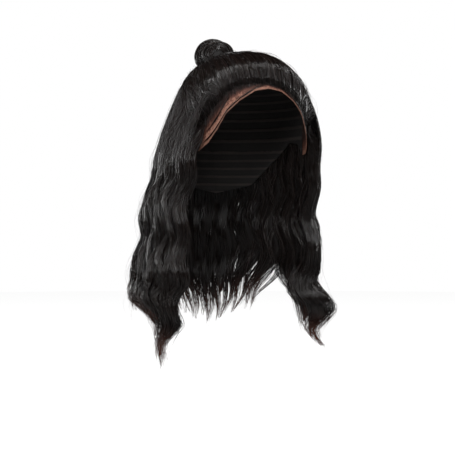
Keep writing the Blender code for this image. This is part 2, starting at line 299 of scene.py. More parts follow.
# Relief from a height, with its strength and its depth
def bumpNode(nodes, strength, distance):
    node = nodes.new("ShaderNodeBump")
    node.inputs["Strength"].default_value = strength
    node.inputs["Distance"].default_value = distance
    return node


# A place on the surface, from the piece's own grain and its way along
def surfacePlace(nodes, links):
    place = nodes.new("ShaderNodeCombineXYZ")
    links.new(attributeNode(nodes, "grain").outputs["Fac"], place.inputs["X"])
    links.new(attributeNode(nodes, "along").outputs["Fac"], place.inputs["Y"])
    return place


hairLook = dict(dark=(0.0024, 0.0015, 0.0013), light=(0.0105, 0.0062, 0.0050),
                tip=(0.115, 0.030, 0.014), tipFrom=0.80, tipFull=0.95, rough=0.22, shine=0.42)
packedLook = dict(stretch=(1400, 9, 1), relief=0.6 * mm, rough=0.46, shine=0.2)


# Shared colour of the hair: off-black by strand, redder towards the thin tips
def hairGroup():
    group = bpy.data.node_groups.new("hairColour", "ShaderNodeTree")
    face = group.interface
    face.new_socket("Colour", in_out="OUTPUT", socket_type="NodeSocketColor")
    face.new_socket("Roughness", in_out="OUTPUT", socket_type="NodeSocketFloat")
    nodes, links = group.nodes, group.links
    shade = attributeNode(nodes, "shade")
    along = attributeNode(nodes, "along")
    strand = colourMix(nodes, hairLook["dark"], hairLook["light"])
    links.new(shade.outputs["Fac"], strand.inputs[0])
    ramp = rangeNode(nodes, hairLook["tipFrom"], 1.05, 0, hairLook["tipFull"])
    links.new(along.outputs["Fac"], ramp.inputs["Value"])
    tip = colourMix(nodes, None, hairLook["tip"])
    links.new(ramp.outputs["Result"], tip.inputs[0])
    links.new(strand.outputs[2], tip.inputs[6])
    rough = rangeNode(nodes, 0, 1, hairLook["rough"] - 0.06, hairLook["rough"] + 0.08, False)
    links.new(shade.outputs["Fac"], rough.inputs["Value"])
    out = nodes.new("NodeGroupOutput")
    links.new(tip.outputs[2], out.inputs["Colour"])
    links.new(rough.outputs["Result"], out.inputs["Roughness"])
    return group


hairNodes = hairGroup()


# What the shared hair colour gives: a colour and a roughness
def hairColour(nodes):
    look = nodes.new("ShaderNodeGroup")
    look.node_tree = hairNodes
    return look.outputs


# Loose strands: the shared colour and roughness as they are
def strandMaterial():
    mat, nodes, links, shader = newMaterial("hairStrands")
    look = hairColour(nodes)
    links.new(look["Colour"], shader.inputs["Base Color"])
    links.new(look["Roughness"], shader.inputs["Roughness"])
    shader.inputs["Specular IOR Level"].default_value = hairLook["shine"]
    return mat


# Packed hair under the loose strands: noise drawn out along the lock
def coreMaterial():
    mat, nodes, links, shader = newMaterial("hairPacked")
    stretch = nodes.new("ShaderNodeMapping")
    stretch.inputs["Scale"].default_value = packedLook["stretch"]
    links.new(surfacePlace(nodes, links).outputs[0], stretch.inputs["Vector"])
    noise = nodes.new("ShaderNodeTexNoise")
    noise.inputs["Scale"].default_value = 1.0
    noise.inputs["Detail"].default_value = 3.0
    links.new(stretch.outputs[0], noise.inputs["Vector"])
    bump = bumpNode(nodes, 0.9, packedLook["relief"])
    links.new(noise.outputs["Fac"], bump.inputs["Height"])
    links.new(bump.outputs["Normal"], shader.inputs["Normal"])
    tone = rangeNode(nodes, 0.35, 0.7, 0.3, 1.1, False)
    links.new(noise.outputs["Fac"], tone.inputs["Value"])
    dim = colourMix(nodes, blend="MULTIPLY")
    dim.inputs[0].default_value = 1.0
    links.new(hairColour(nodes)["Colour"], dim.inputs[6])
    links.new(tone.outputs["Result"], dim.inputs[7])
    links.new(dim.outputs[2], shader.inputs["Base Color"])
    shader.inputs["Roughness"].default_value = packedLook["rough"]
    shader.inputs["Specular IOR Level"].default_value = packedLook["shine"]
    return mat


hairMats = [coreMaterial(), strandMaterial()]
print("hair materials ready")


# Hair that falls round the sides and back
fall = dict(
    start=64.0, shift=12 * mm, shiftOver=95 * mm, waveLength=74 * mm, waveDepth=3.2 * mm,
    waveSway=2.3, waveFrom=-10 * mm, waveFull=60 * mm, waveLag=0.35, bunchFrom=130 * mm,
    bunchOver=110 * mm, bunchKeep=0.55, taperFrom=0.82, taperPower=1.8,
    strands=218, frontStrands=345, rings=26,
    radius=0.46 * mm, seat=2.7 * mm, clumps=5, swell=0.075, crown=0.11,
    bunches=((64, 118, 68), (118, 242, 180), (242, 296, 268)), wide=0.53,
    layers=(0.60, 0.88), layerSoft=0.06, edgeShare=0.28, clumpPull=0.62, depthPull=0.7)
coreLook = dict(around=20, rings=26, tailEnd=0.955, tailOver=0.12, end=0.885, over=0.23,
                half=0.30, grain=4.5 * mm, edge=0.4 * mm)
fallTable = np.array([
    (-90, 9.5, 10, 10, 7), (-40, 12, 12.5, 13, 9), (-16, 18, 16, 16, 12), (0, 28, 19.5, 17, 15),
    (20, 33, 19.5, 17, 18), (53, 38, 18, 15, 19), (95, 48, 21, 13, 20), (125, 50, 24, 13, 20),
    (160, 58, 29, 14, 20), (195, 66, 40, 16, 20), (230, 58, 36, 18, 19), (275, 46, 30, 20, 16),
], float) * mm  # drop, outer reach on the right, left and back, thickness
lockTips = np.array([273, 232, 204, 205, 214, 222, 228, 224, 216, 210, 214, 236, 255]) * mm
lockStep = (360 - 2 * fall["start"]) / len(lockTips)  # degrees from lock to lock
lockNodes = ["lock_right_front", "lock_right_side", "lock_right_rear", "lock_back_right_3",
             "lock_back_right_2", "lock_back_right_1", "lock_back_middle", "lock_back_left_1",
             "lock_back_left_2", "lock_back_left_3", "lock_left_rear", "lock_left_side",
             "lock_left_front"]
tipTurn = {0: 7.0, 1: 4.0}  # degrees that a lock's last part turns back
edgeFull = dict(turn=5.5, drop=166 * mm, over=52 * mm)  # how far the right edge comes forward

# Below their start the front locks draw into one tail on each side. A row is the height,
# middle and half width across, and middle and half width in depth, on axes turned 23 degrees
tailTurn = math.radians(23)
tailAxes = np.array([[math.cos(tailTurn), -math.sin(tailTurn)],
                     [math.sin(tailTurn), math.cos(tailTurn)]])
tailRight = dict(start=-262 * mm, over=34 * mm, table=np.array([
    (-262, -103, 32, -57, 42), (-283, -104, 33, -54, 38), (-299, -109.5, 31.5, -60, 32),
    (-310, -104, 26, -66, 26), (-321, -99, 20.5, -66, 21), (-330, -95.5, 18, -61, 17),
    (-339, -95.5, 12.5, -57, 14), (-351, -101.5, 7.5, -60, 10), (-365, -103, 6, -69, 7),
    (-386, -97.5, 2.5, -66, 4)], float) * mm)
tailLeft = dict(start=-252 * mm, over=26 * mm, table=np.array([
    (-252, 91.7, 12, 35, 38), (-266, 88.5, 14.8, 36, 37), (-280, 82.7, 16.8, 37, 34),
    (-287, 81.2, 17.3, 34, 32), (-296, 85.6, 21.8, 27, 30), (-304, 93.1, 23.5, 23, 28),
    (-315, 99.5, 24, 23, 26), (-328, 97, 21.5, 31, 21), (-334, 93, 16.5, 33, 17),
    (-342, 89, 10.5, 31, 13), (-350, 89, 7, 25, 10), (-361, 97.5, 5, 21, 7),
    (-370, 105, 2.5, 24, 4)], float) * mm)
lockTails = {0: tailRight, 1: tailRight, 11: tailLeft, 12: tailLeft}

# Hair swept from the lace to the knot
swept = dict(start=66.0, thick=8.8 * mm, first=1.0 * mm, last=0.55, knotLongitude=173.0,
             roll=3.0 * mm, knotPolar=33.0, gather=9.3, spread=118.0, rootGap=0.7,
             strands=1300, rings=22, radius=0.42 * mm,
             streaks=((9, 0.42), (17, 0.36), (31, 0.30), (53, 0.18)))
setbackTable = np.array([
    (-66, 18), (-60, 17), (-50, 10), (-40, 7.5), (-25, 6), (-10, 4), (-3, 5), (0, 7), (3, 6.5),
    (10, 7.5), (20, 12), (30, 18), (40, 22.5), (50, 27), (57, 24), (62, 17), (66, 14)],
    float) * (1, mm)  # longitude, distance of the dense hair from the lace's edge


# The top of the dome laid flat: the angle from the crown is the distance from the middle
def mapPoint(longitude, polar):
    lon = np.radians(longitude)
    return np.stack([polar * np.sin(lon), polar * np.cos(lon)], axis=-1)


# Back from the flat map: a point's angle is its longitude, its distance gives its drop
def fromMap(flat):
    polar = np.hypot(flat[..., 0], flat[..., 1])
    longitude = np.degrees(np.arctan2(flat[..., 0], flat[..., 1]))
    return longitude, dome["arc"] * (polar / 90 - 1)


# A ring on the flat map round the knot
def gatherPoint(turn):
    angle = np.radians(turn)
    ring = np.stack([np.sin(angle), np.cos(angle)], axis=-1)
    return mapPoint(swept["knotLongitude"], swept["knotPolar"]) + swept["gather"] * ring


# A line on the flat map from the hairline to the ring round the knot, bowed by a half
# sine to the outside
def sweptPath(share, along, bow=0.0):
    longitude = swept["start"] * (1 - 2 * share)
    drop = capEdge(longitude) - readTable(setbackTable, longitude)
    start = mapPoint(longitude, 90 * (1 + drop / dome["arc"]))
    end = gatherPoint(swept["spread"] * (1 - 2 * share))
    along = np.asarray(along)[..., None]
    way = unit(end - start)
    outside = np.stack([-way[..., 1], way[..., 0]], axis=-1)
    outside = outside * np.sign(start[..., :1] * outside[..., :1])
    bent = np.asarray(bow)[..., None] * np.sin(np.pi * along)
    return start * (1 - along) + end * along + outside * bent


# Lift of the swept hair: it rises from the hairline to a roll, then sinks slowly, and is
# less again at the knot
def sweptRise(along):
    rise = swept["first"] + (swept["thick"] - swept["first"]) * smoothStep(along / 0.23)
    rise = rise - swept["roll"] * smoothStep((along - 0.2) / 0.5)
    return rise * (1 - (1 - swept["last"]) * smoothStep((along - 0.75) / 0.25))


# Ridges between the streaks: sines of the share across, drifting slowly along the hair
def sweptStreak(share, along):
    phase = np.random.default_rng(310).uniform(0, 2 * np.pi, (len(swept["streaks"]), 2))
    total = 0
    for (beats, size), (first, second) in zip(swept["streaks"], phase):
        total = total + size * mm * np.sin(2 * np.pi * beats * share + first
                                           + 1.6 * np.sin(3.0 * along + second))
    return total * smoothStep(along / 0.12)


# The line where swept hair ends and hanging hair begins, as drop by longitude
def rootLine():
    along = np.linspace(0, 1, 24)
    behind = gatherPoint(np.linspace(swept["spread"], 360 - swept["spread"], 15)[1:-1])
    line = np.vstack([sweptPath(0.0, along), behind, sweptPath(1.0, along[::-1])])
    longitude, drop = fromMap(line)
    order = np.argsort(longitude % 360)
    return (longitude % 360)[order], drop[order] + dome["arc"] * swept["rootGap"] / 90


# A table column with its corners rounded by averaging close by
def fallColumn(drop, column):
    reach = 0.3 * np.diff(fallTable[:, 0]).min()
    return sum(readTable(fallTable, drop + k * reach, column) for k in (-1.5, -0.5, 0.5, 1.5)) / 4


# Outer reach of the hanging hair: the side columns weighted by squared sine and cosine
def fallReach(longitude, drop):
    lon = np.radians(longitude)
    right = np.maximum(np.sin(lon), 0) ** 2
    left = np.maximum(-np.sin(lon), 0) ** 2
    back = np.cos(lon) ** 2
    return right * fallColumn(drop, 1) + left * fallColumn(drop, 2) + back * fallColumn(drop, 3)


# How far the waves have grown: an eased step of the drop
def waveGrown(drop):
    return smoothStep((drop - fall["waveFrom"]) / (fall["waveFull"] - fall["waveFrom"]))


# Hanging hair: reach from the table by side, less the depth, plus the wave
def fallPoint(longitude, drop, inward, phase=0.0, more=1.0):
    lon = np.radians(longitude)
    reach = fallReach(longitude, drop)
    thick = np.minimum(fallColumn(drop, 4), reach - fall["seat"])
    wave = np.sin(2 * np.pi * drop / fall["waveLength"] + 2 * fall["waveLag"] * lon + phase)
    lift = reach - thick * inward + fall["waveDepth"] * more * waveGrown(drop) * wave
    ring, height = domeRing(drop)
    shift = fall["shift"] * smoothStep(drop / fall["shiftOver"])
    x = -(dome["side"] + lift) * ring * np.sin(lon)
    y = -(dome["length"] + lift) * ring * np.cos(lon) + shift
    z = -dome["crown"] + (dome["crown"] + lift) * height - np.maximum(drop, 0)
    return np.stack(np.broadcast_arrays(x, y, z), axis=-1)


# Longitude after the side wave and the drawing together of the tips
def swayed(longitude, drop, bunch, phase=0.0, more=1.0):
    angle = 2 * np.pi * drop / fall["waveLength"] + fall["waveLag"] * np.radians(longitude)
    drawn = (1 - fall["bunchKeep"]) * smoothStep((drop - fall["bunchFrom"]) / fall["bunchOver"])
    gathered = longitude + (bunch - longitude) * drawn
    return gathered + fall["waveSway"] * more * waveGrown(drop) * np.cos(angle + phase)


# Paths drawn into a tail: each keeps its place in the cross-section, which shrinks and
# bends with height, and moves towards its clump's place by the pull
def intoTail(paths, tail, clump, pull, stray, rng):
    level = paths[..., 2]
    flat = paths[..., :2] @ tailAxes.T
    table = tail["table"][::-1]
    first = np.abs(level - tail["start"]).argmin(axis=1)
    own = flat[np.arange(len(paths)), first]
    middle = np.array([readTable(table, tail["start"], k) for k in (1, 3)])
    half = np.array([readTable(table, tail["start"], k) for k in (2, 4)])
    place = np.clip((own - middle) / half, -1.08, 1.08)
    names = np.unique(clump)
    centres = np.stack([place[clump == k].mean(axis=0) for k in names])
    home = centres[np.searchsorted(names, clump)]
    phase = rng.uniform(0, 2 * np.pi, len(names))[np.searchsorted(names, clump)]
    place = place[:, None] + (home - place)[:, None] * pull[..., None]
    swing = 2 * np.pi * level / (50 * mm) + phase[:, None]
    aside, behind = 2.2 * mm * np.sin(swing), 2.8 * mm * np.cos(swing)
    if stray:
        aside = aside + wander(rng, *level.shape, stray, (0.7, 1.5, 3))
        astray = rng.exponential(1.0, (len(paths), 1)) * rng.choice([-1, 1, 1], (len(paths), 1))
        low = smoothStep((tail["start"] - 30 * mm - level) / (60 * mm))
        aside = aside + 1.4 * stray * astray * low
    columns = [readTable(table, level, k) for k in range(1, 5)]
    drawn = np.stack([columns[0] + columns[1] * place[..., 0] + aside,
                      columns[2] + columns[3] * place[..., 1] + behind], -1)
    begin = tail["start"] + 9 * mm * np.sin(phase)[:, None]
    grown = smoothStep((begin - level) / tail["over"])[..., None]
    flat = flat * (1 - grown) + drawn * grown
    return np.concatenate([flat @ tailAxes, level[..., None]], axis=-1)


# What a hanging lock needs: its middle, its tip, and how its end turns, bunches or joins
# a tail. The outer locks are the two beside the opening.
def lockPlan(index):
    middle = fall["start"] + lockStep * (index + 0.5)
    bunch = next(c for low, high, c in fall["bunches"] if low <= middle <= high)
    return dict(index=index, middle=middle, bunch=bunch, tip=lockTips[index],
                turned=tipTurn.get(index, 0.0), tail=lockTails.get(index),
                outer=index in (0, len(lockTips) - 1))


# Longitude and depth of each strand's root: an outer layer, an inner layer and a few
# between, and in the outer locks also the edge beside the opening
def scatterRoots(lock, count, rng):
    kind = rng.random(count)
    inner, between = fall["layers"]
    soft = fall["layerSoft"]
    longitude = lock["middle"] + lockStep * rng.uniform(-fall["wide"], fall["wide"], count)
    depth = np.abs(rng.normal(0, soft, count))
    depth = np.where(kind > inner, 1 - np.abs(rng.normal(0, soft, count)), depth)
    depth = np.where(kind > between, rng.uniform(0.1, 0.9, count), depth)
    if lock["outer"]:
        edge = fall["start"] if lock["index"] == 0 else 360 - fall["start"]
        near = kind > 1 - fall["edgeShare"]
        longitude = np.where(near, edge + rng.normal(0, 0.8, count), longitude)
        depth = np.where(near, rng.uniform(0, 1, count), depth)
    return longitude, depth


# Loose strands in clumps with rounded backs. Each runs from the root line to its clump's
# tip, drawing to the clump's middle.
def lockStrands(lock, line, rng):
    index, middle, tip = lock["index"], lock["middle"], lock["tip"]
    front = index in (0, 1, len(lockTips) - 1)
    count, rings = fall["frontStrands" if front else "strands"], fall["rings"]
    longitude, depth = scatterRoots(lock, count, rng)
    clumps = fall["clumps"]
    centre = middle + lockStep * (np.linspace(-0.42, 0.42, clumps) + rng.normal(0, 0.04, clumps))
    away = longitude[:, None] - centre[None, :] + rng.normal(0, 0.9, (count, clumps))
    clump = np.abs(away).argmin(1)
    offset = np.clip((longitude - centre[clump]) / (0.5 * lockStep / clumps), -1.6, 1.6)
    clumpTip = tip * rng.uniform(0.93, 1.0, clumps)
    clumpTip[rng.integers(0, clumps)] = tip
    clumpPhase = rng.normal(0, 1.1 if front else 0.8, clumps)
    clumpMore = rng.uniform(0.7, 1.35, clumps)
    clumpDepth = rng.uniform(0.15, 0.6, clumps)
    clumpShade = rng.random(clumps)
    if 2 < index < 10:
        clumpPhase = clumpPhase + rng.normal(0, 0.5)
    if lock["outer"]:  # the clump at the edge keeps the plain wave
        clumpPhase[0 if index == 0 else -1] = 0.0
        clumpMore[0 if index == 0 else -1] = 1.0

    share = np.linspace(0, 1, rings)[None, :]
    root = np.interp(longitude % 360, *line) + rng.uniform(-1, 3, count) * mm
    if lock["outer"]:
        root = root - rng.uniform(2, 12, count) * mm
    end = clumpTip[clump] * (1.015 - 0.155 * rng.random(count) ** (1.6 if front else 1))
    drop = root[:, None] + (end - root)[:, None] * share
    gone = np.clip(drop / tip, 0, 1)
    fade = np.clip((gone - fall["taperFrom"]) / (1 - fall["taperFrom"]), 0, 1) ** fall["taperPower"]
    tightCentre = centre[clump][:, None] * 0.72 + middle * 0.28
    spread = longitude[:, None] + (tightCentre - longitude[:, None]) * fall["clumpPull"] * fade
    spread = spread + lock["turned"] * smoothStep((gone - 0.78) / 0.24)
    if index == 0:
        fuller = smoothStep(1 - np.abs(drop - edgeFull["drop"]) / edgeFull["over"])
        nearEdge = 1 - (longitude[:, None] - fall["start"]) / lockStep
        spread = spread - edgeFull["turn"] * fuller * nearEdge
    inward = depth[:, None] + (clumpDepth[clump][:, None] - depth[:, None]) * fall["depthPull"] * fade
    rounded = fall["crown"] * (offset ** 2)[:, None] * np.where(depth < 0.5, 1, -1)[:, None]
    slow = np.sin(2 * np.pi * drop / (1.7 * fall["waveLength"])
                  + 2 * np.pi * clumpShade[clump][:, None])
    inward = inward + (rounded + fall["swell"] * slow * (depth < 0.5)[:, None]) * waveGrown(drop)
    inward = inward + wander(rng, count, rings, 0.025, (1.5, 3))
    phase, more = clumpPhase[clump][:, None], clumpMore[clump][:, None]
    bent = swayed(spread, drop, lock["bunch"], phase, more)
    bent = bent + wander(rng, count, rings, 0.5, (1, 2, 3.5))
    paths = fallPoint(bent, drop, inward, phase, more)
    if lock["outer"]:
        risen = smoothStep((drop - root[:, None]) / (26 * mm))[..., None]
        paths = domePoint(bent, drop, 2.6 * mm) * (1 - risen) + paths * risen
    if lock["tail"]:
        paths = intoTail(paths, lock["tail"], clump, 0.55 * fade, 1.5 * mm, rng)
    thin = 1 - 0.68 * smoothStep((share - 0.78) / 0.22)
    radius = fall["radius"] * rng.uniform(0.65, 1.25, (count, 1)) * thin
    strands = strandTubes(paths, awayFromLine(paths), radius)
    shade = 0.55 * rng.random(count) + 0.45 * clumpShade[clump]
    return strandGroup(strands, shade, (share * (end / tip)[:, None])[:, :, None], 3)


# The packed core: rounded squares of sine and cosine to the power one half, from the root
# line to near the tip, drawing in
def lockCore(lock, line, rng):
    middle, tip, around = lock["middle"], lock["tip"], coreLook["around"]
    tail = lock["tail"]
    end, over = (coreLook["tailEnd"], coreLook["tailOver"]) if tail else (coreLook["end"], coreLook["over"])
    turn = np.linspace(0, 2 * np.pi, around, endpoint=False)
    across = np.sign(np.cos(turn)) * np.abs(np.cos(turn)) ** 0.5
    outer = np.sign(np.sin(turn)) * np.abs(np.sin(turn)) ** 0.5
    down = np.linspace(0, end, coreLook["rings"])[:, None]
    longitude = middle + lockStep * 0.5 * across[None, :]
    root = np.interp(longitude % 360, *line) + 1 * mm
    drop = root + (tip - root) * down
    fade = smoothStep((drop / tip - end + over) / over)
    longitude = middle + lockStep * 0.5 * across[None, :] * (1 - 0.96 * fade)
    longitude = longitude + lock["turned"] * smoothStep((drop / tip - 0.78) / 0.24)
    inward = 0.5 - coreLook["half"] * outer[None, :] * (1 - 0.9 * fade)
    longitude = swayed(longitude, drop, lock["bunch"])
    core = fallPoint(longitude, drop, inward)
    if lock["outer"]:
        risen = smoothStep((drop - root) / (30 * mm))[..., None]
        low = domePoint(longitude, drop, 2.2 * mm - coreLook["edge"] * np.sign(np.sin(turn))[None, :])
        core = low * (1 - risen) + core * risen
    if tail:
        columns = core.transpose(1, 0, 2)
        narrow = 0.12 + 0.85 * np.broadcast_to(fade, core.shape[:2]).T
        core = intoTail(columns, tail, np.zeros(around, int), narrow, 0, rng).transpose(1, 0, 2)
    return coreGroup(core, np.arange(around)[None, :] * coreLook["grain"], down, 0.3)


# One hanging lock: loose strands over a packed core, both from one seed
def hangingLock(index, node, line):
    lock, rng = lockPlan(index), np.random.default_rng(100 + index)
    strands = lockStrands(lock, line, rng)
    placeHair(node.replace("lock", "hair"), [lockCore(lock, line, rng), strands], node)


line = rootLine()
for index, node in enumerate(lockNodes):
    hangingLock(index, node, line)
print("hanging hair: 13 locks")


# Half of the swept hair: strands over a packed core, both following the streaks
def sweptHair(half, nodes):
    rng = np.random.default_rng(300 + half)
    count, rings = swept["strands"] // 2, swept["rings"]
    share = (rng.random(count) + half) / 2
    late = np.where(rng.random(count) < 0.35, rng.uniform(0, 0.4, count),
                    rng.exponential(0.014, count))
    layer = np.where(rng.random(count) < 0.8, 1 - np.abs(rng.normal(0, 0.07, count)),
                     rng.uniform(0.25, 0.9, count))
    run = np.linspace(0, 1, rings)[None, :]
    along = late[:, None] + (1 - late[:, None]) * run ** 0.9
    drift = wander(rng, count, rings, 0.006, (0.5, 1, 2)) * np.sin(np.pi * run) ** 0.5
    place = np.clip(share[:, None] + drift, 0.001, 0.999)
    longitude, drop = fromMap(sweptPath(place, along))
    grow = smoothStep((along - late[:, None] + 0.004) / 0.05)
    rise = sweptRise(along) * layer[:, None] + sweptStreak(place, along)
    paths = domePoint(longitude, drop, 1.3 * mm + (1.2 * mm + rise) * grow)
    outward = awayFromDome(paths)
    thin = 0.4 + 0.6 * smoothStep(run / 0.12)
    radius = swept["radius"] * rng.uniform(0.6, 1.3, (count, 1)) * thin
    strands = strandTubes(paths, outward, radius)
    streakShade = 0.5 + 0.5 * np.sin(2 * np.pi * 23 * share + 1.0)
    shade = 0.6 * rng.random(count) + 0.4 * streakShade

    around, coreRings = 96, 22
    coreShare = (np.linspace(0, 1, around // 2) + half)[None, :] / 2
    down = np.broadcast_to(np.linspace(0.075, 1, coreRings)[:, None], (coreRings, around // 2))
    lon, drp = fromMap(sweptPath(coreShare, down))
    coreRise = sweptRise(down) + sweptStreak(coreShare, down) - 1.0 * mm
    top = domePoint(lon, drp, 1.8 * mm + np.maximum(coreRise, 0.2 * mm))
    under = domePoint(lon, drp, 1.6 * mm)[:, ::-1]
    core = np.concatenate([top, under], axis=1)[:, ::-1]
    grain = np.arange(around)[None, :] * 2.6 * mm
    groups = [coreGroup(core, grain, 0.4 * down[:, :1], 0.25),
              strandGroup(strands, shade, 0.4 * along[:, :, None], 4)]
    placeHair("swept_hair_right" if half == 0 else "swept_hair_left", groups, *nodes)


for half in (0, 1):
    sweptHair(half, [f"swept_lock_{k}" for k in range(1 + 4 * half, 5 + 4 * half)])
print("swept hair: two halves")


# Hair that leaves the temple and hides the parting between swept and hanging hair
temple = dict(bowed=120, falling=150, rings=22,
              radius=0.42 * mm, bow=13.0, over=0.9 * mm, curls=((60, 30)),
              curlRadius=0.14 * mm)


# Lift of hair that bows out over the hanging hair: swept lift, then the hanging reach
def bowedLift(share, along, bow, proud):
    longitude, drop = fromMap(sweptPath(share, along, bow))
    own = 2.5 * mm + sweptRise(along) * smoothStep(along / 0.05)
    over = fallReach(longitude, drop) + proud
    lift = own + (np.maximum(over, own) - own) * smoothStep(bow * np.sin(np.pi * along) / 3.0)
    return longitude, drop, lift


# Strands that sweep in a bow over the side, most of them close to the edge
def bowedPaths(side, rng):
    count, rings = temple["bowed"], temple["rings"]
    share = np.clip(rng.exponential(0.035, (count, 1)), 0.002, 0.16)
    share = share if side > 0 else 1 - share
    bow = temple["bow"] * rng.random((count, 1)) ** 1.2
    along = 0.01 + rng.uniform(0, 0.25, (count, 1)) * (rng.random((count, 1)) < 0.4)
    along = along + (1 - along) * np.linspace(0, 1, rings)[None, :]
    bow = bow + wander(rng, count, rings, 0.5, (1, 2))
    proud = temple["over"] * rng.uniform(-0.6, 1.5, (count, 1))
    return domePoint(*bowedLift(share, along, bow, proud))


# Strands that rise from the hairline in an arch and fall: a Bezier curve in longitude and
# drop with two middle points, easing into the hanging hair
def fallenPaths(side, rng):
    count, rings = temple["falling"], temple["rings"]
    run = np.linspace(0, 1, rings)[None, :]
    begin = np.clip(rng.exponential(0.05, (count, 1)), 0.002, 0.17)
    lonStart, dropStart = fromMap(sweptPath(begin if side > 0 else 1 - begin,
                                            np.full((count, 1), 0.02)))
    lonStart = np.abs(lonStart)
    far = rng.random((count, 1)) ** 1.7
    lonEnd = 64 + 24 * far + rng.uniform(-0.5, 2, (count, 1))
    dropEnd = rng.uniform(30, 130, (count, 1)) * mm
    rise = (4 + 42 * far + rng.uniform(0, 8, (count, 1))) * mm
    corners = [(lonStart, dropStart), (lonStart + 3 + 8 * far, dropStart - rise),
               (lonEnd, dropStart - 0.8 * rise), (lonEnd + 1, dropEnd)]
    weights = [(1 - run) ** 3, 3 * run * (1 - run) ** 2, 3 * run ** 2 * (1 - run), run ** 3]
    longitude = sum(w * c[0] for w, c in zip(weights, corners))
    drop = sum(w * c[1] for w, c in zip(weights, corners))
    longitude = longitude + wander(rng, count, rings, 0.6, (1, 2, 3.5))
    longitude = longitude if side > 0 else 360 - longitude
    bunch = fall["bunches"][0][2] if side > 0 else 360 - fall["bunches"][0][2]
    depth = rng.uniform(-0.10, 0.10, (count, 1))
    hung = fallPoint(swayed(longitude, drop, bunch), drop, depth)
    near = domePoint(longitude, drop, 2.6 * mm + 9 * mm * smoothStep(run / 0.5))
    mix = smoothStep(run / 0.45)[..., None]
    return near * (1 - mix) + hung * mix


# Fine curls that stand off the temple: circles carried along bowed lines
def templeCurls(side, rng):
    count = temple["curls"][0 if side > 0 else 1]
    share = np.linspace(0, 1, 27)[None, :]
    place = rng.uniform(0.002, 0.10, (count, 1))
    place = place if side > 0 else 1 - place
    begin = rng.uniform(0.0, 0.45, (count, 1))
    reach = begin + rng.uniform(0.12, 0.30, (count, 1)) * share
    bow = rng.uniform(0, 14, (count, 1)) + 0 * share
    proud = rng.uniform(0.5, 2.5, (count, 1)) * mm
    longitude, drop, lift = bowedLift(place, reach, bow, proud)
    middle = domePoint(longitude, drop, lift + 1.5 * mm)
    up = awayFromDome(middle)
    beside = np.cross(unit(np.gradient(middle, axis=1)), up)
    turn = rng.uniform(0, 6.3, (count, 1)) + rng.uniform(4, 13, (count, 1)) * share
    size = rng.uniform(1.0, 3.2, (count, 1))[..., None] * mm
    circle = np.cos(turn)[..., None] * beside + 0.6 * np.sin(turn)[..., None] * up
    paths = middle + size * circle * smoothStep(share / 0.2)[..., None]
    return strandTubes(paths, up, temple["curlRadius"] * (1 - 0.4 * share) * np.ones((count, 1)))


# Strands and curls of one side, which is 1 on the right and -1 on the left
def templeHair(side):
    rng = np.random.default_rng(400 + side)
    bowed, fallen = bowedPaths(side, rng), fallenPaths(side, rng)
    run = np.linspace(0, 1, temple["rings"])[None, :]
    bowedThin = np.broadcast_to(0.45 + 0.55 * smoothStep(run / 0.1), bowed.shape[:2])
    fallenThin = np.broadcast_to(np.sin(np.pi * (0.04 + 0.92 * run)) ** 0.4, fallen.shape[:2])
    thin = np.concatenate([bowedThin, fallenThin])
    radius = temple["radius"] * rng.uniform(0.55, 1.2, (len(thin), 1)) * thin
    paths = np.concatenate([bowed, fallen])
    strands = strandTubes(paths, awayFromDome(paths), radius)
    curls = templeCurls(side, rng)
    groups = [strandGroup(strands, rng.random(len(strands)), 0.25, 2, (0, 0, 0.7, 1)),
              strandGroup(curls, rng.random(len(curls)), 0.3, 1, (0.71, 0, 1, 1))]
    placeHair("temple_hair_right" if side > 0 else "temple_hair_left", groups)


templeHair(1)
templeHair(-1)
print("temple hair")


# Single hairs that have come loose round the outline
loose = dict(hanging=160, top=44, curl=10,
             radius=0.13 * mm, curlRadius=0.2 * mm)


# Loose hairs over the sides and back, standing outside the hanging hair by a half sine
def looseHanging(rng):
    count, rings = loose["hanging"], 20
    run = np.linspace(0, 1, rings)[None, :]
    lon = np.where(rng.random((count, 1)) < 0.55, rng.uniform(66, 120, (count, 1)),
                   rng.uniform(120, 296, (count, 1)))
    begin = rng.uniform(-70, 150, (count, 1)) * mm
    begin = np.maximum(begin, np.interp(lon % 360, *line))
    length = rng.uniform(45, 120, (count, 1)) * mm
    drop = np.minimum(begin + length * run, 240 * mm)
    stand = -rng.uniform(0.04, 0.34, (count, 1)) * np.sin(np.pi * np.clip(run * 1.15, 0, 1)) ** 0.8
    bunch = np.where(lon < 118, 68, np.where(lon < 242, 180, 268))
    phase = rng.normal(0, 0.9, (count, 1))
    more = rng.uniform(0.6, 1.6, (count, 1))
    turned = swayed(lon, drop, bunch, phase, more) + wander(rng, count, rings, 0.8, (1, 2, 3.5))
    paths = fallPoint(turned, drop, stand, phase, more)
    radius = loose["radius"] * (1 - 0.5 * run) * np.ones((count, 1))
    return strandTubes(paths, awayFromLine(paths), radius), (drop / (230 * mm))[:, :, None]


# A loose curl that stands off the right side, where a few hairs bow out together
def looseCurl(rng):
    count, rings = loose["curl"], 20
    share = np.linspace(0, 1, rings)[None, :]
    drop = (150 + 54 * share) * mm + rng.normal(0, 2, (count, 1)) * mm
    lon = 79 + rng.normal(0, 0.8, (count, 1)) + 5 * share
    stand = -0.40 * np.sin(np.pi * share) ** 0.8 + 0.05 + rng.normal(0, 0.015, (count, 1))
    paths = fallPoint(swayed(lon, drop, 68), drop, stand)
    return strandTubes(paths, awayFromLine(paths), loose["curlRadius"] * np.ones((count, rings)))


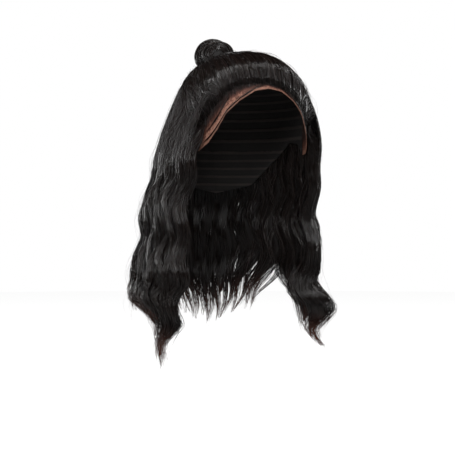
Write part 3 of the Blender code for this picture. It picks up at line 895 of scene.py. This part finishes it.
# Loose hairs over the swept hair, standing off it by a half sine
def looseTop(rng):
    count, rings = loose["top"], 16
    share = np.linspace(0, 1, rings)[None, :]
    place = rng.uniform(0.02, 0.98, (count, 1)) + wander(rng, count, rings, 0.012, (1, 2))
    begin = rng.uniform(0.05, 0.5, (count, 1))
    along = begin + rng.uniform(0.2, 0.45, (count, 1)) * share
    lon, drop = fromMap(sweptPath(np.clip(place, 0.001, 0.999), along))
    stand = rng.uniform(0.6, 4.0, (count, 1)) * mm * np.sin(np.pi * share) ** 0.8
    paths = domePoint(lon, drop, 2.6 * mm + sweptRise(along) + stand)
    return strandTubes(paths, awayFromDome(paths), loose["radius"] * np.ones((count, rings)))


# The three kinds of loose hair as one piece
def looseHair():
    rng = np.random.default_rng(460)
    hanging, along = looseHanging(rng)
    curl = looseCurl(rng)
    top = looseTop(rng)
    groups = [strandGroup(hanging, rng.random(len(hanging)), along, 2, (0, 0, 0.6, 1)),
              strandGroup(curl, rng.random(len(curl)), 0.6, 1, (0.61, 0, 0.75, 1)),
              strandGroup(top, rng.random(len(top)), 0.3, 1, (0.76, 0, 1, 1))]
    placeHair("loose_hair", groups)


looseHair()
print("loose hair")


# Top knot
knot = dict(centre=np.array([-9, 74, 10]) * mm, turn=23.0, coilAway=8 * mm, coilRadius=17.2 * mm,
            coilTube=7.5 * mm, coilSweep=(-52.0, 238.0), strands=150,
            wraps=70, bridge=130, radius=0.42 * mm,
            wrapRadius=0.55 * mm, bridgeRadius=0.5 * mm)
lumps = (("knot_lobe", (6.5, -11, 1.5), (20.5, 12.6, 18.6), 190),
         ("knot_heart", (0, 12.2, 0), (9.1, 9.6, 9.3), 90))  # offset, radii, strands
turnAngle = math.radians(knot["turn"])
knotAxes = np.array([[math.cos(turnAngle), -math.sin(turnAngle), 0],
                     [math.sin(turnAngle), math.cos(turnAngle), 0], [0, 0, 1]])
coilCentre = knot["centre"] + np.array([0, knot["coilAway"], 0]) @ knotAxes


# Strands wound round a lump like a skein: rings round its short axis that drift in depth
def lumpHair(node, offset, radii, strandCount, seed):
    rng = np.random.default_rng(seed)
    count, rings = strandCount, 26
    place = knot["centre"] + (np.array(offset) * mm) @ knotAxes
    share = np.linspace(0, 1, rings)[None, :]
    turn = rng.uniform(0, 2 * np.pi, (count, 1)) + rng.uniform(2.2, 4.4, (count, 1)) * share
    polar = np.arccos(rng.uniform(-0.97, 0.97, (count, 1)))
    polar = polar + wander(rng, count, rings, 0.09, (0.6, 1.2))
    fold = 1 + 0.035 * np.sin(3 * turn + 2.2 * np.cos(polar)) + 0.02 * np.sin(9 * polar + turn)
    fold = fold + wander(rng, count, rings, 0.012, (1, 2))
    local = np.stack([np.sin(polar) * np.cos(turn), np.cos(polar) * np.ones_like(turn),
                      np.sin(polar) * np.sin(turn)], -1)
    size = np.array(radii) * mm
    paths = place + (local * size * fold[..., None] * 0.99) @ knotAxes
    outward = unit((local / size) @ knotAxes)
    thin = thinEnds(share, 0.03, 0.35)
    radius = knot["radius"] * rng.uniform(0.6, 1.3, (count, 1)) * thin
    strands = strandTubes(paths, outward, radius)
    down = np.linspace(0.03, np.pi - 0.03, 16)[:, None]  # core: rings from pole to pole
    spin = np.linspace(0, 2 * np.pi, 28, endpoint=False)[None, :]
    body = np.stack([np.sin(down) * np.cos(spin), np.cos(down) * np.ones_like(spin),
                     np.sin(down) * np.sin(spin)], -1)
    core = (place + (body * size * 0.94) @ knotAxes)[:, ::-1]
    groups = [coreGroup(core, down * 12 * mm, spin * 0.05, 0.2),
              strandGroup(strands, rng.random(count), 0.35)]
    placeHair(node + "_hair", groups, node)


# A point on the coil and the way out from it: a ring with a tube that tapers at both ends
def coilPoint(share, turn, size):
    low, high = np.radians(knot["coilSweep"])
    angle = low + (high - low) * share
    radial = np.stack([np.cos(angle), 0 * angle, np.sin(angle)], -1)
    tube = knot["coilTube"] * (0.7 + 0.3 * np.sin(np.pi * np.clip(share, 0, 1)) ** 0.6) * size
    about = np.cos(turn)[..., None] * radial + np.sin(turn)[..., None] * np.array([0, 1.0, 0])
    local = radial * knot["coilRadius"] + tube[..., None] * about
    return coilCentre + local @ knotAxes, unit(about @ knotAxes)


# Strands twisted round the coil: a helix
def coilStrands(rng):
    count, rings = knot["strands"], 34
    begin = rng.uniform(-0.02, 0.35, (count, 1))
    end = rng.uniform(0.6, 1.02, (count, 1))
    share = begin + (end - begin) * np.linspace(0, 1, rings)[None, :]
    turn = rng.uniform(0, 2 * np.pi, (count, 1)) + 3.4 * share
    turn = turn + wander(rng, count, rings, 0.12, (0.7, 1.5))
    size = 1.0 + 0.05 * np.sin(4 * turn) + wander(rng, count, rings, 0.02, (1, 2))
    paths, outward = coilPoint(share, turn, size)
    thin = np.sin(np.pi * np.linspace(0.03, 0.97, rings)) ** 0.35
    radius = knot["radius"] * rng.uniform(0.6, 1.3, (count, 1)) * thin[None, :]
    return strandTubes(paths, outward, radius)


# The coil's packed core, 0.93 of the thickness of the strands' ring
def coilCore():
    down = np.broadcast_to(np.linspace(0, 1, 40)[:, None], (40, 16))
    spin = np.broadcast_to(np.linspace(0, 2 * np.pi, 16, endpoint=False)[None, :], (40, 16))
    core = coilPoint(down, spin, np.full((40, 16), 0.93))[0]
    return coreGroup(core[:, ::-1], spin * 7 * mm, down * 0.4, 0.2)


# Wraps that wind in from the coil to the middle: the radius shrinks as they turn
def coilWraps(rng):
    count, rings = knot["wraps"], 26
    run = np.linspace(0, 1, rings)[None, :]
    angle = rng.uniform(0.2, 4.4, (count, 1)) + rng.uniform(1.4, 3.2, (count, 1)) * run
    reach = rng.uniform(0.8, 1.0, (count, 1)) - rng.uniform(0.2, 0.5, (count, 1)) * run
    reach = knot["coilRadius"] * reach
    deep = -(2.5 + 5.0 * rng.random((count, 1)) - 4.5 * run) * mm
    deep = deep + wander(rng, count, rings, 0.5 * mm, (1, 2))
    local = np.stack([reach * np.cos(angle), deep, reach * np.sin(angle)], -1)
    paths = coilCentre + local @ knotAxes
    outward = np.broadcast_to(np.array([0, -1.0, 0]) @ knotAxes, paths.shape)
    thin = thinEnds(run, 0.04, 0.35)
    return strandTubes(paths, outward, knot["wrapRadius"] * thin * np.ones((count, 1)))


# Rings that bridge the groove between the coil and the lobe in front of it, on a cone
def coilBridge(rng):
    count, rings = knot["bridge"], 18
    run = np.linspace(0, 1, rings)[None, :]
    angle = rng.uniform(0, 2 * np.pi, (count, 1)) + rng.uniform(1.4, 2.6, (count, 1)) * run
    ahead = rng.uniform(4, 12.5, (count, 1)) + wander(rng, count, rings, 0.9, (0.5, 1))
    reach = 22.5 - 0.8 * (ahead - 4) - rng.uniform(0, 2.2, (count, 1))
    reach = reach + wander(rng, count, rings, 0.4, (1, 2))
    aside = reach * np.cos(angle) + 0.43 * (ahead - 4)
    paths = coilCentre + np.stack([aside, -ahead, reach * np.sin(angle)], -1) * mm @ knotAxes
    outward = unit(np.stack([np.cos(angle), -0.5 + 0 * angle, np.sin(angle)], -1) @ knotAxes)
    thin = thinEnds(run, 0.04, 0.35)
    return strandTubes(paths, outward, knot["bridgeRadius"] * thin * np.ones((count, 1)))


# Twisted strands, wraps and bridge over the coil's core
def coilHair():
    rng = np.random.default_rng(520)
    twisted = coilStrands(rng)
    wrapped = coilWraps(rng)
    bridged = coilBridge(rng)
    groups = [coilCore(), strandGroup(twisted, rng.random(len(twisted)), 0.35, 2, (0.21, 0, 0.7, 1)),
              strandGroup(wrapped, rng.random(len(wrapped)), 0.35, 1, (0.71, 0, 0.85, 1)),
              strandGroup(bridged, rng.random(len(bridged)), 0.35, 1, (0.86, 0, 1, 1))]
    placeHair("knot_coil_hair", groups, "knot_coil")


# Gathered hair under the knot: runs from the swept ring up into the lobe, closing in
def stubHair():
    rng = np.random.default_rng(560)
    count, rings = knot["strands"], 10
    crown = dome["arc"] * (swept["knotPolar"] / 90 - 1)

    def ringPoint(turn, close, lift):
        angle = np.radians(turn)
        around = np.stack(np.broadcast_arrays(np.sin(angle), np.cos(angle)), -1)
        middle = mapPoint(swept["knotLongitude"], swept["knotPolar"])
        lon, drop = fromMap(middle + (close * swept["gather"])[..., None] * around)
        return domePoint(lon, drop, lift)

    share = np.linspace(0, 1, rings)[None, :]
    turn = rng.uniform(0, 360, (count, 1)) + rng.uniform(-14, 14, (count, 1)) * share
    far = rng.uniform(1.0, 2.1, (count, 1))
    paths = ringPoint(turn, far - (far - 0.5) * share ** 0.8, (5.6 + 13 * share ** 1.7) * mm)
    outward = unit(paths - domePoint(swept["knotLongitude"], crown, 0.0))
    thin = thinEnds(share, 0.05, 0.4) * rng.uniform(0.7, 1.2, (count, 1))
    strands = strandTubes(paths, outward, 0.42 * mm * thin)
    down = np.linspace(0, 1, 8)[:, None]
    spin = np.linspace(0, 360, 24, endpoint=False)[None, :] + 0 * down
    core = ringPoint(spin, 0.9 - 0.4 * down, (3.4 + 9.0 * down) * mm)
    groups = [coreGroup(core, spin * 0.15 * mm, 0.3, 0.2),
              strandGroup(strands, rng.random(count), 0.35)]
    placeHair("ponytail_stub_hair", groups, "ponytail_stub")


for number, (node, offset, radii, strandCount) in enumerate(lumps):
    lumpHair(node, offset, radii, strandCount, 500 + number)
coilHair()
stubHair()
print("top knot")


# Fine hairs at the hairline
baby = dict(fine=1150, laid=95, fineRadius=0.16 * mm,
            laidRadius=0.2 * mm, singleShare=0.16)


# Hairs that run back from the lace: lines on the flat map with a sideways half sine
def fineHairs(rng):
    count, rings = baby["fine"], 7
    share = np.linspace(0, 1, rings)[None, :]
    lon = rng.uniform(-65, 65, (count, 1))
    setback = readTable(setbackTable, lon)
    single = rng.random((count, 1)) < baby["singleShare"]
    away = setback * np.where(single, rng.uniform(0.1, 1.0, (count, 1)),
                              1.06 - 0.62 * rng.random((count, 1)) ** 1.4)
    root = capEdge(lon) - away - 0.8 * mm
    start = mapPoint(lon, 90 * (1 + root / dome["arc"]))
    goal = sweptPath((1 - lon / swept["start"]) / 2, np.full((count, 1), 0.15))
    flat = start[:, :1] * (1 - share[..., None]) + goal[:, :1] * share[..., None]
    flat[..., 0] += 1.6 * np.sin(np.pi * share) * rng.normal(0, 1, (count, 1))
    longitude, drop = fromMap(flat)
    paths = domePoint(longitude, drop, 1.0 * mm + 4.0 * mm * share ** 1.5)
    radius = baby["fineRadius"] * rng.uniform(0.7, 1.4, (count, 1)) * (0.5 + 0.5 * share)
    return strandTubes(paths, awayFromDome(paths), radius)


# Flat swoops laid along the lace's edge, a few of them in a second line further in. Their
# ends fan out at both sides.
def laidHairs(rng):
    count, rings = baby["laid"], 14
    run = np.linspace(0, 1, rings)[None, :]
    side = np.where(rng.random((count, 1)) < 0.62, 1, -1)
    second = (rng.random((count, 1)) < 0.2) & (side > 0)
    begin = np.where(second, rng.uniform(36, 46, (count, 1)), rng.uniform(4, 38, (count, 1)))
    end = np.where(second, rng.uniform(52, 61, (count, 1)), rng.uniform(50, 65, (count, 1)))
    lon = side * (begin + (end - begin) * run)
    inset = 0.7 + 1.3 * rng.random((count, 1)) + 0.9 * np.sin(np.pi * run)
    inset = inset + np.where(second, 12.0 - 5.0 * run, 0.0)
    inset = inset + 5.5 * (1 - smoothStep(run / 0.3)) * rng.random((count, 1))
    inset = inset + 2.6 * smoothStep((run - 0.72) / 0.28) * rng.random((count, 1))
    paths = domePoint(lon, capEdge(lon) - inset * mm, 1.3 * mm)
    radius = baby["laidRadius"] * thinEnds(run, 0.05, 0.5) * np.ones((count, 1))
    return strandTubes(paths, awayFromDome(paths), radius)


# Fine and laid hairs as one piece
def babyHair():
    rng = np.random.default_rng(700)
    fine = fineHairs(rng)
    laid = laidHairs(rng)
    groups = [strandGroup(fine, 0.5 * rng.random(len(fine)), 0.75, 2, (0, 0, 0.7, 1)),
              strandGroup(laid, 0.5 * rng.random(len(laid)), 0.3, 1, (0.71, 0, 1, 1))]
    placeHair("baby_hair", groups)


babyHair()
print("baby hair")


# Cap of stretch net with rows of weft inside
capLook = dict(net=(0.009, 0.0078, 0.0075), weft=(0.026, 0.021, 0.019), rowPitch=10.5 * mm,
               thick=1.6 * mm, rough=0.8, weave=900, relief=1.2 * mm)


# Two tones and a ridge at each row of weft, a sine of the drop, over a woven cell pattern
def netMaterial():
    mat, nodes, links, shader = newMaterial("capNet")
    rows = mathNode(nodes, "MULTIPLY", 2 * math.pi / capLook["rowPitch"])
    links.new(attributeNode(nodes, "along").outputs["Fac"], rows.inputs[0])
    wave = mathNode(nodes, "SINE")
    links.new(rows.outputs[0], wave.inputs[0])
    ridge = rangeNode(nodes, 0.35, 0.85)
    links.new(wave.outputs[0], ridge.inputs["Value"])
    colour = colourMix(nodes, capLook["net"], capLook["weft"])
    links.new(ridge.outputs["Result"], colour.inputs[0])
    links.new(colour.outputs[2], shader.inputs["Base Color"])
    weave = nodes.new("ShaderNodeTexVoronoi")
    weave.inputs["Scale"].default_value = capLook["weave"]
    links.new(surfacePlace(nodes, links).outputs[0], weave.inputs["Vector"])
    total = mathNode(nodes, "MULTIPLY_ADD", 0.35)
    links.new(weave.outputs["Distance"], total.inputs[0])
    links.new(ridge.outputs["Result"], total.inputs[2])
    bump = bumpNode(nodes, 0.8, capLook["relief"])
    links.new(total.outputs[0], bump.inputs["Height"])
    links.new(bump.outputs["Normal"], shader.inputs["Normal"])
    shader.inputs["Roughness"].default_value = capLook["rough"]
    shader.inputs["Specular IOR Level"].default_value = 0.25
    return mat


# A closed wall between two lifts on a grid of longitude and drop. A whole turn is a run of
# rings up the inside and down the outside, an open band a run of cross-sections.
def sheetMesh(name, longitude, drops, inner, outer, mat, shade, whole):
    inside = domePoint(longitude, drops, inner)
    outside = domePoint(longitude, drops, outer)
    lonGrid = longitude + 0 * drops
    if whole:
        points = np.concatenate([inside, outside[::-1]], axis=0)
        values = [np.concatenate([v, v[::-1]], axis=0) for v in (drops, lonGrid, shade)]
    else:
        points = np.concatenate([outside, inside[::-1]], axis=0).transpose(1, 0, 2)
        values = [np.concatenate([v, v[::-1]], axis=0).T for v in (drops, lonGrid, shade)]
    groups = [dict(points=points[None], box=(0.01, 0.01, 0.99, 0.99), slot=0,
                   along=values[0][None], grain=np.radians(values[1])[None] * 0.09,
                   shade=values[2][None])]
    return makeMesh(name, groups, [mat])


# The cap's wall, from near the pole of the dome down to its edge, or to the lace's seam
def makeCap():
    longitude = np.linspace(-180, 180, 120, endpoint=False)[None, :]
    front = np.abs(longitude) < 79.5
    seam = laceSeam(np.clip(longitude, -79, 79)) - 0.65 * mm
    edge = np.where(front, seam, capEdge(longitude))
    share = np.linspace(0.015, 1, 30)[:, None]
    drops = -dome["arc"] + (edge + dome["arc"]) * share
    piece = sheetMesh("cap_net", longitude, drops, 0.0, capLook["thick"], netMaterial(),
                      0 * drops, True)
    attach(piece, "root")
    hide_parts("cap")


makeCap()
print("cap")


# Lace front: fine net with the roots knotted into it
laceLook = dict(thread=(0.27, 0.135, 0.096), root=(0.066, 0.0235, 0.0155),
                rootDeep=(0.016, 0.0065, 0.0048), meshPitch=1.1 * mm,
                rootPitch=1.9 * mm, seeThrough=0.3, thick=0.4 * mm, bare=0.22)


# Threads where two diagonal waves peak, and a dark knot in each cell whose size follows
# the shade value, which grows from the lace's edge to the dense hair
def laceMaterial():
    mat, nodes, links, shader = newMaterial("laceNet")
    grain = attributeNode(nodes, "grain")
    along = attributeNode(nodes, "along")
    shade = attributeNode(nodes, "shade")

    def wave(sign):
        both = mathNode(nodes, "MULTIPLY_ADD", sign)
        links.new(along.outputs["Fac"], both.inputs[0])
        links.new(grain.outputs["Fac"], both.inputs[2])
        turn = mathNode(nodes, "MULTIPLY", 2 * math.pi / laceLook["meshPitch"])
        links.new(both.outputs[0], turn.inputs[0])
        out = mathNode(nodes, "COSINE")
        links.new(turn.outputs[0], out.inputs[0])
        return out

    top = mathNode(nodes, "MAXIMUM")
    links.new(wave(1.0).outputs[0], top.inputs[0])
    links.new(wave(-1.0).outputs[0], top.inputs[1])
    thread = rangeNode(nodes, 0.2, 0.6, laceLook["seeThrough"], 1.0)
    links.new(top.outputs[0], thread.inputs["Value"])
    cells = nodes.new("ShaderNodeTexVoronoi")
    cells.inputs["Scale"].default_value = 1 / laceLook["rootPitch"]
    cells.inputs["Randomness"].default_value = 0.7
    links.new(surfacePlace(nodes, links).outputs[0], cells.inputs["Vector"])
    size = mathNode(nodes, "SUBTRACT")
    links.new(shade.outputs["Fac"], size.inputs[0])
    links.new(cells.outputs["Distance"], size.inputs[1])
    knotted = rangeNode(nodes, -0.08, 0.10)
    links.new(size.outputs[0], knotted.inputs["Value"])
    solid = mathNode(nodes, "MAXIMUM")
    links.new(thread.outputs["Result"], solid.inputs[0])
    links.new(knotted.outputs["Result"], solid.inputs[1])
    links.new(solid.outputs[0], shader.inputs["Alpha"])
    deep = rangeNode(nodes, 0.70, 1.08)
    links.new(shade.outputs["Fac"], deep.inputs["Value"])
    rootTone = colourMix(nodes, laceLook["root"], laceLook["rootDeep"])
    links.new(deep.outputs["Result"], rootTone.inputs[0])
    colour = colourMix(nodes, laceLook["thread"])
    links.new(rootTone.outputs[2], colour.inputs[7])
    links.new(knotted.outputs["Result"], colour.inputs[0])
    links.new(colour.outputs[2], shader.inputs["Base Color"])
    shader.inputs["Roughness"].default_value = 0.75
    shader.inputs["Specular IOR Level"].default_value = 0.2
    return mat


# The band of lace between its seam and its scalloped edge, drawn tight over the dome.
def makeLace():
    longitude = np.linspace(-79, 79, 130)[None, :]
    share = np.linspace(0, 1, 16)[:, None]
    seam = laceSeam(longitude)
    scallop = 0.35 * mm * np.sin(longitude * 1.9) * np.sin(longitude * 0.53)
    edge = capEdge(longitude) + scallop
    drops = seam + (edge - seam) * share
    inFromEdge = (edge - drops) / readTable(setbackTable, longitude)
    dense = laceLook["bare"] + (1.1 - laceLook["bare"]) * smoothStep(inFromEdge / 1.05) ** 0.85
    piece = sheetMesh("lace_net", longitude, drops, 0.2 * mm, 0.2 * mm + laceLook["thick"],
                      laceMaterial(), dense, False)
    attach(piece, "root")
    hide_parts("lace_front")
    grid = domePoint(longitude, drops, 0.4 * mm)


makeLace()
print("lace")


# Camera, floor and light
studio = dict(distance=2.0, azimuth=-23.0, aim=(-0.0164, 0.0069, -0.2134), width=0.578,
              floor=-0.455, floorSeen=0.93, floorLit=0.012, skyLit=0.018, lampAway=2.1, lampSize=0.6)
lamps = (("key", -45, 20, 22), ("second", -12, 24, 15), ("above", 0, 70, 42), ("front", -15, 50, 12),
         ("side", -120, 15, 7), ("left", 45, 70, 10), ("leftSide", 110, 5, 14),
         ("rear", -150, 6, 9))  # name, degrees from the front, degrees up, watts


# The lens shows the studio's width at its distance: film width over width, times distance
def makeCamera():
    turn = math.radians(studio["azimuth"])
    camera = bpy.data.objects.new("camera", bpy.data.cameras.new("camera"))
    camera.data.lens = 36.0 / studio["width"] * studio["distance"]
    camera.location = (studio["aim"][0] + math.sin(turn) * studio["distance"],
                       studio["aim"][1] - math.cos(turn) * studio["distance"], studio["aim"][2])
    camera.rotation_euler = (math.pi / 2, 0, turn)
    bpy.context.scene.collection.objects.link(camera)
    bpy.context.scene.camera = camera


# A square lamp turned to face the middle of the hair
def areaLight(name, azimuth, raised, power):
    around, up = math.radians(azimuth), math.radians(raised)
    place = (studio["lampAway"] * math.sin(around) * math.cos(up),
             -studio["lampAway"] * math.cos(around) * math.cos(up),
             -0.15 + studio["lampAway"] * math.sin(up))
    light = bpy.data.lights.new(name, "AREA")
    light.shape = "SQUARE"
    light.size = studio["lampSize"]
    light.energy = power
    lamp = bpy.data.objects.new(name, light)
    lamp.location = place
    to = np.array([0, 0, -0.15]) - np.array(place)
    lamp.rotation_euler = (math.acos(-to[2] / np.linalg.norm(to)), 0,
                           math.atan2(to[1], to[0]) - math.pi / 2)
    bpy.context.scene.collection.objects.link(lamp)


# A pale round floor that the camera sees nearly as bright as the white behind it
def makeFloor():
    bpy.ops.mesh.primitive_circle_add(vertices=96, radius=4.0, fill_type="NGON",
                                      location=(0, 0, studio["floor"]))
    floor = bpy.context.object
    floor.name = "floor"
    mat, nodes, links, shader = newMaterial("floor")
    shader.inputs["Base Color"].default_value = (0.35, 0.35, 0.35, 1)
    shader.inputs["Roughness"].default_value = 0.95
    shader.inputs["Specular IOR Level"].default_value = 0.0
    shader.inputs["Emission Color"].default_value = (1, 1, 1, 1)
    seen = nodes.new("ShaderNodeLightPath")
    glow = rangeNode(nodes, 0, 1, studio["floorLit"], studio["floorSeen"], False)
    links.new(seen.outputs["Is Camera Ray"], glow.inputs["Value"])
    links.new(glow.outputs["Result"], shader.inputs["Emission Strength"])
    floor.data.materials.append(mat)


# White behind the object, and a weak even light from all round
def makeWorld():
    world = bpy.data.worlds.new("studio")
    bpy.context.scene.world = world
    world.use_nodes = True
    nodes, links = world.node_tree.nodes, world.node_tree.links
    nodes.clear()
    seen = nodes.new("ShaderNodeBackground")
    seen.inputs["Color"].default_value = (1, 1, 1, 1)
    lit = nodes.new("ShaderNodeBackground")
    lit.inputs["Color"].default_value = (0.97, 0.98, 1, 1)
    lit.inputs["Strength"].default_value = studio["skyLit"]
    path = nodes.new("ShaderNodeLightPath")
    mix = nodes.new("ShaderNodeMixShader")
    out = nodes.new("ShaderNodeOutputWorld")
    links.new(path.outputs["Is Camera Ray"], mix.inputs[0])
    links.new(lit.outputs[0], mix.inputs[1])
    links.new(seen.outputs[0], mix.inputs[2])
    links.new(mix.outputs[0], out.inputs["Surface"])


makeCamera()
makeFloor()
makeWorld()
for name, azimuth, raised, power in lamps:
    areaLight(name, azimuth, raised, power)
bpy.context.scene.view_settings.view_transform = "Standard"
print("camera, floor and light")
